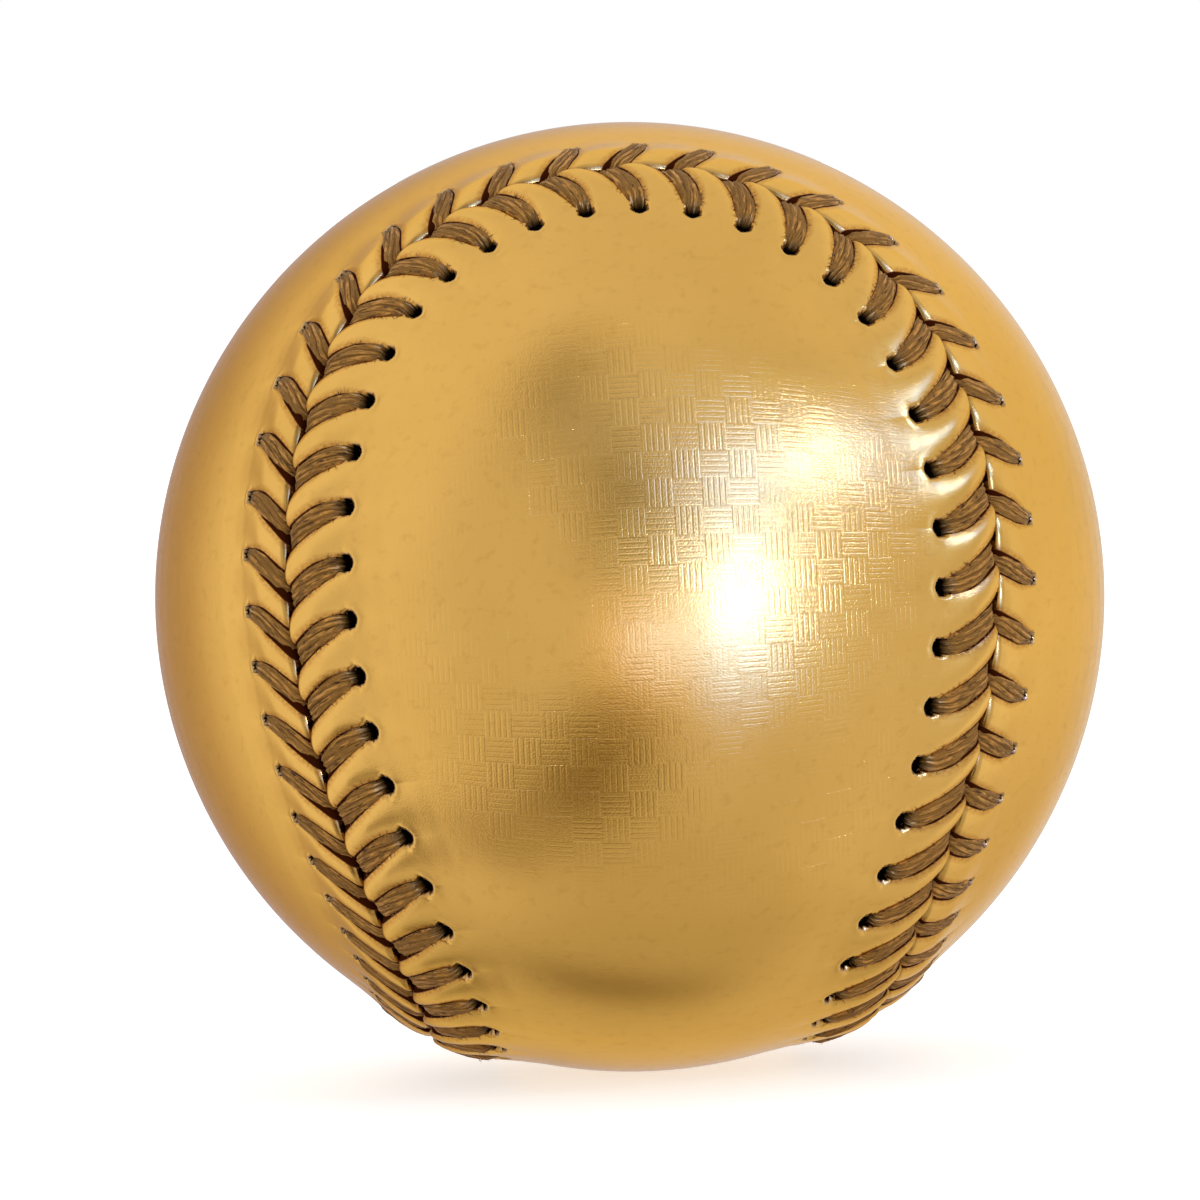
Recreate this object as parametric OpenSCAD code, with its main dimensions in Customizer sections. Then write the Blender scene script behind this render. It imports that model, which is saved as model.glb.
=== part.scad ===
// Baseball: a cushioned cork pill, four windings and a two-piece leather cover laced along one seam.
// The origin is the centre of the ball and +Z is up. All lengths are in millimetres.

/* [Ball] */
// Radius of the leather away from the seam
ball_radius = 37.1; // [36.7:0.05:37.5]
// Room left between one layer and the next
layer_gap = 0.05; // [0.02:0.01:0.1]

/* [Cushioned pill] */
// Radius of the cork ball
cork_radius = 10.3; // [9.5:0.1:11]
// Wall of the two black rubber shells
inner_rubber_wall = 3.95; // [3.2:0.05:4.6]
// Thickness of the washer that seals the black shells
washer_thickness = 1.6; // [1:0.1:2.4]
// Wall of the two red rubber shells
outer_rubber_wall = 2.35; // [1.8:0.05:3]

/* [Windings] */
// Thickness of the second winding
second_winding_wall = 1.75; // [1.2:0.05:2.4]
// Thickness of the third winding
third_winding_wall = 2.25; // [1.6:0.05:3]
// Thickness of the smooth finishing winding
finish_winding_wall = 0.5; // [0.4:0.05:0.8]

/* [Cover] */
// Thickness of the leather
leather_wall = 1.2; // [1.1:0.02:1.3]
// Gap between the two panels along the seam
seam_gap = 0.2; // [0.1:0.02:0.3]
// Radius of a stitch hole
hole_radius = 0.85; // [0.8:0.01:0.95]
// Distance from the seam to the holes of the front panel
front_hole_inset = 5.5; // [5.1:0.05:5.9]
// Distance from the seam to the holes of the back panel
back_hole_inset = 5.1; // [4.8:0.05:5.6]
// How far the leather stands up along the seam, where the thread runs under it
welt_rise = 0.7; // [0.6:0.02:0.8]
// Distance from the seam to the foot of the raised leather
welt_width = 8; // [7.2:0.1:9]

/* [Seam and stitches] */
// Number of double stitches around the seam
stitch_pairs = 90; // [88:2:92]
// Share of the first harmonic in the seam curve, which sets how round the lobes are
lobe_share = 0.716; // [0.7:0.002:0.73]
// How far the front stitches crowd and spread along the seam, as a share of the pitch
crowding_share = 0.7; // [0:0.05:0.8]

/* [Thread] */
// Width of the thread where it lies over the leather
thread_width = 1.4; // [1.2:0.02:1.5]
// Height of the thread where it lies over the leather
thread_height = 0.9; // [0.8:0.02:0.95]
// Width of the thread where the leather presses it on the winding
buried_width = 1.35; // [1.2:0.05:1.5]
// Height of the thread where the leather presses it on the winding
buried_height = 0.55; // [0.45:0.01:0.6]
// Width of the thread where it passes through the leather and the seam
squeezed_width = 1.05; // [0.9:0.05:1.15]
// Room left between the thread and what it passes
thread_room = 0.08; // [0.05:0.01:0.1]

/* [Hidden] */
$fn = 96;

// Sides of the seam: the front panel is the one that shows its lobe towards -Y
front = 1;
back = -1;

// Radii of the layers, from the pill outwards and from the cover inwards
inner_rubber_bore = cork_radius + layer_gap;
inner_rubber_radius = inner_rubber_bore + inner_rubber_wall;
outer_rubber_bore = inner_rubber_radius + layer_gap;
pill_radius = outer_rubber_bore + outer_rubber_wall;
cover_bore = ball_radius - leather_wall;
finish_radius = cover_bore - layer_gap;
third_radius = finish_radius - finish_winding_wall - layer_gap;
second_radius = third_radius - third_winding_wall - layer_gap;
first_radius = second_radius - second_winding_wall - layer_gap;

// The seam curve is a sum of odd and even harmonics, drawn on a unit sphere
saddle_share = 1 - lobe_share;
swing_share = 2 * sqrt(lobe_share * saddle_share);
waist_share = -0.024;
shoulder_share = 0.01;
seam_steps = 720;
step_angle = 360 / seam_steps;

function unit(v) = v / norm(v);

function seam_point(turn) = unit([
    -lobe_share * sin(turn) - saddle_share * sin(3 * turn) - shoulder_share * sin(5 * turn),
    -lobe_share * cos(turn) + saddle_share * cos(3 * turn) - shoulder_share * cos(5 * turn),
    swing_share * cos(2 * turn) + waist_share * cos(6 * turn)
]);

// Unit vector along the surface, square to the seam and towards the front panel
function seam_side(turn) =
    unit(cross(seam_point(turn), seam_point(turn + step_angle) - seam_point(turn - step_angle)));

function seam_step(i) = ball_radius * norm(seam_point((i + 1) * step_angle) - seam_point(i * step_angle));

// Pairs of a station, which is a length along the seam, and its turn angle
seam_stations = [
    for (i = 0, s = 0; i <= seam_steps; s = s + seam_step(i), i = i + 1) [s, i * step_angle]
];
seam_length = seam_stations[seam_steps][0];
pitch = seam_length / stitch_pairs;

function turn_at(s) = lookup(s - seam_length * floor(s / seam_length), seam_stations);

// The point at a station, a signed distance from the seam and a radius
function place(s, off, r) =
    let (turn = turn_at(s), bend = off / ball_radius * 180 / PI)
    r * (cos(bend) * seam_point(turn) + sin(bend) * seam_side(turn));

// Where each stitch has its holes and where its two legs cross the seam, in shares of the pitch
first_stitch_share = 0.5;
crowding_turn = 69.5;
front_slant_share = 0.68;
front_slant_swing_share = 0.08;
back_slant_share = 0.38;
back_slant_swing_share = 0.22;
crossing_share = 0.4;

function stitch_turn(n) = 720 * n / stitch_pairs;

function front_station(n) =
    pitch * (n + first_stitch_share + crowding_share * cos(stitch_turn(n) - crowding_turn));

function front_crossing(n) =
    front_station(n) + pitch * (front_slant_share - front_slant_swing_share * sin(stitch_turn(n)));

function back_crossing(n) = front_crossing(n) - pitch * crossing_share;

function back_station(n) =
    back_crossing(n) - pitch * (back_slant_share + back_slant_swing_share * sin(stitch_turn(n)));

function hole_station(side, n) = side == front ? front_station(n) : back_station(n);
function crossing(side, n) = side == front ? front_crossing(n) : back_crossing(n);
function hole_inset(side) = side == front ? front_hole_inset : back_hole_inset;

// Draws its children, which lie along +Z, from one point towards another
module aim(from, to) {
    v = to - from;
    translate(from)
        rotate([0, acos(v.z / norm(v)), atan2(v.y, v.x)])
            children();
}

// A closed layer between two radii
module layer(outer, bore) {
    difference() {
        sphere(r = outer);
        sphere(r = bore);
    }
}

// Half of a layer, above or below the XY plane, kept clear of that plane by half a gap
module half_layer(outer, bore, up, gap) {
    reach = 2 * outer;
    difference() {
        layer(outer, bore);
        translate([-outer, -outer, up ? gap / 2 - reach : -gap / 2])
            cube([reach, reach, reach]);
    }
}

module cork_core() {
    color("peru") sphere(r = cork_radius);
}

module inner_rubber_shell(up) {
    color("dimgray") half_layer(inner_rubber_radius, inner_rubber_bore, up, washer_thickness + 2 * layer_gap);
}

module rubber_washer() {
    color("firebrick")
        intersection() {
            layer(inner_rubber_radius, inner_rubber_bore);
            translate([-inner_rubber_radius, -inner_rubber_radius, -washer_thickness / 2])
                cube([2 * inner_rubber_radius, 2 * inner_rubber_radius, washer_thickness]);
        }
}

module outer_rubber_shell(up) {
    color("indianred") half_layer(pill_radius, outer_rubber_bore, up, layer_gap);
}

module first_winding() {
    color("gray") layer(first_radius, pill_radius + layer_gap);
}

module second_winding() {
    color("white") layer(second_radius, first_radius + layer_gap);
}

module third_winding() {
    color("darkgray") layer(third_radius, second_radius + layer_gap);
}

module finish_winding() {
    color("ivory") layer(finish_radius, third_radius + layer_gap);
}

// A cone from the centre, whose edge follows the seam at a distance inside one panel
wedge_steps = 180;
wedge_reach = 2 * ball_radius;

module panel_wedge(side, inset) {
    edge = [
        for (i = [0:wedge_steps - 1])
            place(seam_length * i / wedge_steps, side * inset, wedge_reach)
    ];
    // The strip that closes the cone crosses the panel from here on, half the seam on each side
    start = side == front ? 0 : wedge_steps / 4;
    half = wedge_steps / 2;
    function at(i) = (i + wedge_steps) % wedge_steps;
    function facing(loop) = side == front ? loop : [for (k = [len(loop) - 1:-1:0]) loop[k]];
    walls = [for (i = [0:wedge_steps - 1]) facing([wedge_steps, i, at(i + 1)])];
    cap = [
        for (i = [0:half - 1])
            let (a = at(start + i), b = at(start + i + 1), c = at(start - i - 1), d = at(start - i))
            facing(a == d ? [a, c, b] : b == c ? [a, d, b] : [a, d, c, b])
    ];
    polyhedron(points = concat(edge, [[0, 0, 0]]), faces = concat(walls, cap));
}

// Where the thread runs: pressed on the winding under the leather, through the leather, and over it
buried_radius = finish_radius + thread_room + buried_height / 2;
laid_radius = ball_radius + welt_rise + thread_room + thread_height / 2;
halfway_radius = (buried_radius + laid_radius) / 2;

// A round way through the raised leather, along the radius
module radial_bore(station, off, bore) {
    reach = leather_wall + welt_rise;
    aim(place(station, off, cover_bore - reach), place(station, off, cover_bore + reach))
        cylinder(r = bore, h = 3 * reach);
}

// A leg dives through a notch in the edge of its own panel
notch_radius = squeezed_width / 2 + 2 * thread_room;
notch_inset = thread_room + thread_height / 2 - seam_gap / 2;

module cover_panel(side) {
    stitches = [0:stitch_pairs - 1];
    intersection() {
        difference() {
            sphere(r = ball_radius + welt_rise);
            intersection() {
                layer(ball_radius + 2 * welt_rise, ball_radius);
                panel_wedge(side, welt_width);
            }
            difference() {
                sphere(r = cover_bore + welt_rise);
                panel_wedge(side, welt_width);
            }
            sphere(r = cover_bore);
            for (n = stitches) radial_bore(hole_station(side, n), side * hole_inset(side), hole_radius);
            for (n = stitches) radial_bore(crossing(side, n), side * notch_inset, notch_radius);
        }
        panel_wedge(side, seam_gap / 2);
    }
}

module front_cover_panel() {
    color("goldenrod") cover_panel(front);
}

module back_cover_panel() {
    color("gold") cover_panel(back);
}

// One stitch of a thread: under the leather from the seam to its hole, up, and back over to the seam.
// Each entry is a place, a width and a height.
thread_sides = 6;
bend_share = 0.11;
buried_share = 0.4;
climb_share = 0.88;
emerge_share = 0.84;
hump_rise = 0.3;

function blend(a, b, share) = a + (b - a) * share;

function stitch_rings(side, n) =
    let (
        enter = crossing(-side, n - 1),
        hole = hole_station(side, n),
        leave = crossing(side, n),
        off = side * hole_inset(side)
    )
    [
        [blend(enter, hole, buried_share), off * buried_share, buried_radius, buried_width, buried_height],
        [blend(enter, hole, climb_share), off * climb_share, buried_radius, buried_width, buried_height],
        [hole, off, halfway_radius, squeezed_width, thread_height],
        [blend(leave, hole, emerge_share), off * emerge_share, laid_radius + hump_rise, thread_width, thread_height],
        [blend(leave, hole, bend_share), off * bend_share, laid_radius, squeezed_width, thread_height],
        [leave, side * notch_inset, buried_radius, squeezed_width, buried_height]
    ];

// One needle's thread, from the leather that hides its start round the seam to the same place
module needle_thread(first_side) {
    route = [
        for (n = [0:stitch_pairs - 1])
            for (ring = stitch_rings(n % 2 == 0 ? first_side : -first_side, n)) ring
    ];
    count = len(route);
    centres = [for (ring = route) place(ring[0], ring[1], ring[2])];
    // The first ring is moved to the end, so that both ends lie under the leather
    order = [for (i = [1:count]) i % count];
    points = [
        for (i = order)
            let (
                ring = route[i],
                travel = unit(centres[(i + 1) % count] - centres[(i + count - 1) % count]),
                turn = turn_at(ring[0]),
                along = cross(seam_side(turn), seam_point(turn)),
                wide = unit(along - (along * travel) * travel),
                high = cross(travel, wide)
            )
            for (k = [0:thread_sides - 1])
                let (spin = 360 * k / thread_sides)
                centres[i] + wide * ring[3] / 2 * cos(spin) + high * ring[4] / 2 * sin(spin)
    ];
    last = (count - 1) * thread_sides;
    walls = [
        for (i = [0:count - 2])
            for (k = [0:thread_sides - 1])
                let (
                    a = i * thread_sides + k,
                    b = i * thread_sides + (k + 1) % thread_sides,
                    c = b + thread_sides,
                    d = a + thread_sides
                )
                for (face = [[a, c, b], [a, d, c]]) face
    ];
    ends = [
        [for (k = [0:thread_sides - 1]) k],
        [for (k = [thread_sides - 1:-1:0]) last + k]
    ];
    polyhedron(points = points, faces = concat(walls, ends));
}

module first_needle_thread() {
    color("saddlebrown") needle_thread(front);
}

module second_needle_thread() {
    color("sienna") needle_thread(back);
}

cork_core();
inner_rubber_shell(true);  // inner_rubber_shell_upper
inner_rubber_shell(false);  // inner_rubber_shell_lower
rubber_washer();
outer_rubber_shell(true);  // outer_rubber_shell_upper
outer_rubber_shell(false);  // outer_rubber_shell_lower
first_winding();
second_winding();
third_winding();
finish_winding();
front_cover_panel();
back_cover_panel();
first_needle_thread();
second_needle_thread();
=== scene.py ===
import math

import bmesh
import bpy
import numpy as np
from mathutils import Matrix, Quaternion, Vector
from mathutils.kdtree import KDTree


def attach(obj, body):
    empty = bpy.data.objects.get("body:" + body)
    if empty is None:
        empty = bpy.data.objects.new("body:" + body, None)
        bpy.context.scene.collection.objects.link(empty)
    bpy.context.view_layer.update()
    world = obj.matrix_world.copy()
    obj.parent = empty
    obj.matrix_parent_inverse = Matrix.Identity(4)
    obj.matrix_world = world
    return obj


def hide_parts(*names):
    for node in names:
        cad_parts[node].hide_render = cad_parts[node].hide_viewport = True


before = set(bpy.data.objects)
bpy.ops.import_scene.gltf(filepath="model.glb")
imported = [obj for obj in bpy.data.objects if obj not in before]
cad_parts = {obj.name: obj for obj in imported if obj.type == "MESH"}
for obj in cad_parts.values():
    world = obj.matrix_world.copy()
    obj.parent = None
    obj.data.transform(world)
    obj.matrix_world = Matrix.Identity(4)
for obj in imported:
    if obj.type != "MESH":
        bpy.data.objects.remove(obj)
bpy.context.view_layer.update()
mm = 0.001
rng = np.random.default_rng(11)
front, back = 1, -1

# The seam: the solids' own curve and, within 0.1 mm, their stitch holes. Lengths are in millimetres. Stitch
# places, slants and the crossing are in pitches: a pitch is the way along the seam from a stitch to the next.
seam = {
    "radius": 37.1,
    "pairs": 90,
    "lobe": 0.716,          # how round the lobes are
    "waist": -0.024,        # two small waves that shape the waist and the shoulders
    "shoulder": 0.01,
    "steps": 7200,          # points that trace the curve
    "nudge": 0.0005,        # the small turn that finds the curve's direction
    "firstStitch": 0.5,
    "crowding": 0.7,        # how far the stitches crowd beside one half of a lobe and spread beside the other
    "crowdingTurn": 69.5,   # degrees
    "slant": {front: 0.68, back: 0.5},
    "slantSwing": {front: 0.08, back: 0.22},
    "crossing": 0.26,       # how far the front leg crosses ahead of the back one
    "inset": {front: 5.5, back: 5.1},       # from the seam to the holes
    "curl": 1.6,            # how soon a leg leans over after its hole
}


def unit(vectors):
    return vectors / np.linalg.norm(vectors, axis=-1, keepdims=True)


def distances(points):
    # How far along a line each of its points lies
    return np.concatenate([[0], np.cumsum(np.linalg.norm(np.diff(points, axis=0), axis=1))])


def seamPoint(turn):
    lobe, saddle = seam["lobe"], 1 - seam["lobe"]
    swing = 2 * math.sqrt(lobe * saddle)
    return unit(np.stack([
        -lobe * np.sin(turn) - saddle * np.sin(3 * turn) - seam["shoulder"] * np.sin(5 * turn),
        -lobe * np.cos(turn) + saddle * np.cos(3 * turn) - seam["shoulder"] * np.cos(5 * turn),
        swing * np.cos(2 * turn) + seam["waist"] * np.cos(6 * turn)], axis=-1))


turns = np.linspace(0, 2 * np.pi, seam["steps"] + 1)
seamLine = seamPoint(turns)
seamSide = unit(np.cross(seamLine, seamPoint(turns + seam["nudge"]) - seamPoint(turns - seam["nudge"])))
stations = distances(seamLine) * seam["radius"]
seamLength = stations[-1]
pitch = seamLength / seam["pairs"]
print("traced the seam,", round(seamLength, 1), "mm long, with a pitch of", round(pitch, 2), "mm")


def along(table, station):
    # A station is a length along the seam
    around = np.mod(station, seamLength)
    return unit(np.stack([np.interp(around, stations, table[:, axis]) for axis in range(3)], axis=-1))


def place(station, off, radius):
    # The point at a station, a signed distance from the seam and a radius
    bend = (np.asarray(off) / seam["radius"])[..., None]
    way = np.cos(bend) * along(seamLine, station) + np.sin(bend) * along(seamSide, station)
    return way * np.asarray(radius)[..., None] * mm


def stitchTurn(n):
    return 4 * np.pi * n / seam["pairs"]


def slantAt(side, n):
    return seam["slant"][side] - side * seam["slantSwing"][side] * np.sin(stitchTurn(n))


def holeStation(side, n):
    if side == back:
        return crossStation(back, n) - pitch * slantAt(back, n)
    crowd = seam["crowding"] * np.cos(stitchTurn(n) - math.radians(seam["crowdingTurn"]))
    return pitch * (n + seam["firstStitch"] + crowd)


def crossStation(side, n):
    cross = holeStation(front, n) + pitch * slantAt(front, n)
    return cross if side == front else cross - pitch * seam["crossing"]


def legStation(side, n, off):
    # A leg leaves its hole square to the seam and leans more and more along it
    share = np.clip(off / seam["inset"][side], 0, 1)
    lean = 1 - (1 - share) ** seam["curl"]
    return crossStation(side, n) + (holeStation(side, n) - crossStation(side, n)) * lean


def smooth(start, end, value):
    share = np.clip((value - start) / (end - start), 0, 1)
    return share * share * (3 - 2 * share)


def curveAt(points, value):
    # A soft curve through a few points
    steps, reach = 200, 15
    knots, heights = np.array(points).T
    fine = np.linspace(knots[0], knots[-1], steps)
    padded = np.pad(np.interp(fine, knots, heights), reach, mode="edge")
    kernel = np.hanning(2 * reach + 1)
    return np.interp(value, fine, np.convolve(padded, kernel / kernel.sum(), mode="valid"))


def nearestIn(points):
    tree = KDTree(len(points))
    for index, point in enumerate(points):
        tree.insert(point, index)
    tree.balance()
    return tree


def addPiece(name, mesh):
    piece = bpy.data.objects.new(name, mesh)
    bpy.context.scene.collection.objects.link(piece)
    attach(piece, "root")
    print("made", name, len(mesh.polygons), "faces")
    return piece


# Leather panels: a band of tongues and holes along the seam, and a smooth middle. Crests run over the tongues
# and valleys under the legs, and both are given as distances from the seam and heights of the leather.
leather = {
    "bore": 35.9,           # the skin's inner radius
    "bed": 0.05,            # how far the inner skin stands off that radius
    "channel": 0.62,        # how much further along the seam, where the thread runs under it
    "channelFoot": (5.8, 7.8),          # it falls away between these distances from the seam
    "skinRows": (9.0, 6.8, 4.0),        # rows of the inner skin, as distances from the seam
    "tuck": 0.3,            # how far the inner skin stops short of the edge
    "edgeMiddle": 0.45,     # height of the row halfway up the cut edge, as a share of it
    "edgeRound": 0.5,
    "edgeTurns": (10, 35, 62, 90),      # rows round the edge, in degrees
    "edgeFade": 3,          # how far from the edge its scallops reach
    "firstRow": 0.6,
    "holeRows": (1.2, 1.1),             # the close rows reach this far on either side of the holes
    "rowCounts": (12, 19, 8),           # rows before, about and beyond the holes
    "columns": 16,          # mesh columns from one hole to the next
    "gather": 0.6,          # how far the columns gather at the holes
    "bandWidth": 9.0,
    "middleRows": 14,
    "probe": 0.1,           # the small step that finds the slope of a leg
    "weld": 0.002,
    "sliver": 0.001,
    "sameSpot": 0.005,
    "holeShift": 0.1,       # the thread has drawn the hole towards the seam
    "holeDepth": 1.7,
    "holeWall": (1.05, 0.8),            # where a hole's wall starts and ends, in half holes
    "lip": 0.07,
    "lipAt": 1.35,          # in half holes, as lipSpread is
    "lipSpread": 0.3,
    "lipStart": (-0.4, 0.3),            # the lip rises over this stretch about the hole's middle
    "marks": ("holeAlong", "holeOut", "legGap", "edgeGap"),
    "far": 9.0,             # the mark of what is far from every hole, leg and edge
    front: {"crest": [(0, 0.95), (1.2, 1.14), (2.6, 1.06), (4.2, 0.7), (5.6, 0.38), (7.0, 0.15), (8.8, 0)],
            "valley": [(0, 0.05), (1.5, 0.16), (3.5, 0.18), (5.6, 0.16), (7.0, 0.08), (8.8, 0)],
            "edge": -0.15, "scallop": 1.35, "arc": 2.3, "roundness": 0.78,
            "holeWidth": 0.66, "holeReach": 0.68,       # half the hole along the seam and across it
            "taperAt": (0.5, 2.6), "taper": (0.66, 1)},     # a leg's share of its full width near its hole
    back: {"crest": [(0, 0.68), (1.5, 0.84), (3.0, 0.74), (4.4, 0.42), (5.6, 0.17), (6.8, 0.04), (8.2, 0)],
           "valley": [(0, 0.0), (1.5, 0.08), (3.4, 0.12), (4.8, 0.1), (6.2, 0.03), (8.2, 0)],
           "edge": 0.1, "scallop": 0.35, "arc": 3.0, "roundness": 0.6,
           "holeWidth": 0.42, "holeReach": 0.48,
           "taperAt": (0.2, 2.4), "taper": (0.5, 0.96)},
}


def leatherLift(side, phase, off):
    form = leather[side]
    crest = curveAt(form["crest"], off)
    valley = curveAt(form["valley"], off)
    bulge = np.sin(np.pi * np.clip(phase, 0, 1)) ** form["roundness"]
    return valley + (crest - valley) * bulge


def innerRadius(off):
    return leather["bore"] + leather["bed"] + leather["channel"] * (1 - smooth(*leather["channelFoot"], off))


def legWidth(side, off):
    # A leg narrows towards its hole; 1 is its full width
    return np.interp(seam["inset"][side] - off, leather[side]["taperAt"], leather[side]["taper"])


def bandRows(side):
    # Distances from the panel's edge: close where the edge rounds over and where the holes are
    start, end = seam["inset"][side] - leather["holeRows"][0], seam["inset"][side] + leather["holeRows"][1]
    before, about, beyond = leather["rowCounts"]
    return np.concatenate([
        np.linspace(leather["firstRow"], start, before, endpoint=False),
        np.linspace(start, end, about, endpoint=False),
        np.linspace(end, leather["bandWidth"], beyond)])


def bandShape(side, phase, edge):
    # One (distance, radius) pair for each row, from the inner skin over the edge to the band's far side
    level = np.ones_like(phase)
    rows = [(off * level, innerRadius(off) * level) for off in leather["skinRows"]]
    rows.append((edge + leather["tuck"], innerRadius(0) * level))
    top = seam["radius"] + leatherLift(side, phase, edge)
    rows.append((edge, innerRadius(0) * (1 - leather["edgeMiddle"]) + top * leather["edgeMiddle"]))
    for bow in leather["edgeTurns"]:
        turn = math.radians(bow)
        off = edge + leather["edgeRound"] * (1 - math.cos(turn))
        drop = leather["edgeRound"] * (1 - math.sin(turn))
        rows.append((off, seam["radius"] + leatherLift(side, phase, off) - drop))
    for row in bandRows(side):
        off = row + edge * np.clip(1 - row / leather["edgeFade"], 0, 1)
        rows.append((off, seam["radius"] + leatherLift(side, phase, off)))
    return rows


def panelSheet(side):
    # The band along the seam, and for each of its points the marks that its dye and its cut rims follow
    form, hole = leather[side], seam["inset"][side]
    column = np.arange(leather["columns"] * seam["pairs"] + 1) / leather["columns"]
    n = np.floor(column)
    phase = column - n
    phase = phase - leather["gather"] * np.sin(2 * np.pi * phase) / (2 * np.pi)
    edge = form["edge"] + form["scallop"] * np.abs(2 * phase - 1) ** form["arc"]
    spots, marks = [], []
    for index, (off, radius) in enumerate(bandShape(side, phase, edge)):
        near, far = legStation(side, n, off), legStation(side, n + 1, off)
        station = near * (1 - phase) + far * phase
        probe = leather["probe"]
        slope = (legStation(side, n, off + probe) - legStation(side, n, off - probe)) / (2 * probe)
        legGap = np.minimum(np.abs(station - near), np.abs(station - far)) / np.sqrt(1 + slope * slope)
        holeGap = np.minimum(station - holeStation(side, n), holeStation(side, n + 1) - station)
        holeAlong = holeGap / form["holeWidth"]
        holeOut = (off - hole + leather["holeShift"]) / form["holeReach"]
        reach = np.hypot(holeAlong, holeOut)
        if index <= len(leather["skinRows"]):       # no holes in the inner skin
            holeAlong = reach = np.full_like(phase, leather["far"])
        pit = smooth(*leather["holeWall"], reach)
        rise = smooth(hole + leather["lipStart"][0], hole + leather["lipStart"][1], off)
        lip = leather["lip"] * np.exp(-((reach - leather["lipAt"]) / leather["lipSpread"]) ** 2) * rise
        spots.append(place(station, side * off, radius - leather["holeDepth"] * pit + lip))
        marks.append(np.stack([holeAlong, holeOut, legGap / legWidth(side, off), off - edge], axis=-1))
    return np.array(spots), np.array(marks)


def gridInto(bm, spots):
    # A sheet from Blender's own grid, with each vertex moved to its place
    rows, columns = spots.shape[:2]
    before = len(bm.verts)
    bmesh.ops.create_grid(bm, x_segments=columns - 1, y_segments=rows - 1, size=1)
    bm.verts.ensure_lookup_table()
    for vertex, spot in zip(bm.verts[before:], spots.reshape(-1, 3)):
        vertex.co = spot


def middleSheet(rim, start):
    # Bows across the panel, each from one side of its rim to the other
    count = len(rim)
    steps = np.arange(count // 2 + 1)
    near, far = rim[(start + steps) % count], rim[(start - steps) % count]
    nearRadius, farRadius = (np.linalg.norm(ends, axis=1)[:, None] for ends in (near, far))
    near, far = near / nearRadius, far / farRadius
    angle = np.arccos(np.clip((near * far).sum(1), -1, 1))[:, None]
    tips = angle < 1e-6
    bows = []
    for share in np.linspace(0, 1, leather["middleRows"] + 1):
        with np.errstate(invalid="ignore", divide="ignore"):
            way = (np.sin((1 - share) * angle) * near + np.sin(share * angle) * far) / np.sin(angle)
        bows.append(np.where(tips, near, way) * (nearRadius + (farRadius - nearRadius) * share))
    return np.array(bows)


def makePanel(side, name):
    spots, marks = panelSheet(side)
    bm = bmesh.new()
    gridInto(bm, spots)
    tip = 0.0 if side == front else seamLength / 4
    rim = spots[-1][:-1]
    tipPoint = place(np.array(tip), np.array(side * leather["bandWidth"]), np.array(seam["radius"]))
    start = int(np.argmin(np.linalg.norm(rim - tipPoint, axis=1)))
    gridInto(bm, middleSheet(rim, start))
    gridInto(bm, middleSheet(spots[0][:-1], start))
    bmesh.ops.remove_doubles(bm, verts=bm.verts, dist=leather["weld"] * mm)
    bmesh.ops.dissolve_degenerate(bm, edges=bm.edges, dist=leather["sliver"] * mm)
    bmesh.ops.recalc_face_normals(bm, faces=bm.faces)
    mesh = bpy.data.meshes.new(name)
    bm.to_mesh(mesh)
    bm.free()
    mesh.shade_smooth()

    # Each vertex keeps its marks: how far it is from its hole, its leg and the panel's edge
    co = np.empty(len(mesh.vertices) * 3)
    mesh.vertices.foreach_get("co", co)
    co = co.reshape(-1, 3)
    tree = nearestIn(spots.reshape(-1, 3))
    bandMarks = marks.reshape(-1, len(leather["marks"]))
    values = np.full((len(co), len(leather["marks"])), leather["far"])
    for index, spot in enumerate(co):
        _, found, gap = tree.find(spot)
        if gap < leather["sameSpot"] * mm:
            values[index] = bandMarks[found]
    for column, word in enumerate(leather["marks"]):
        mark = mesh.attributes.new(word, "FLOAT", "POINT")
        mark.data.foreach_set("value", values[:, column].astype(np.float32))

    # The weave was pressed into flat hides, so it runs along the panel's own middle line
    uvLayer = mesh.uv_layers.new(name="hide")
    loops = np.empty(len(mesh.loops), dtype=np.int32)
    mesh.loops.foreach_get("vertex_index", loops)
    x, y, z = unit(co).T
    across, length = (x, np.arctan2(y, -z)) if side == front else (y, np.arctan2(x, z))
    uv = np.stack([np.arcsin(across), length], axis=-1) * seam["radius"]
    uvLayer.data.foreach_set("uv", uv[loops].astype(np.float32).ravel())
    return addPiece(name, mesh)


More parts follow.
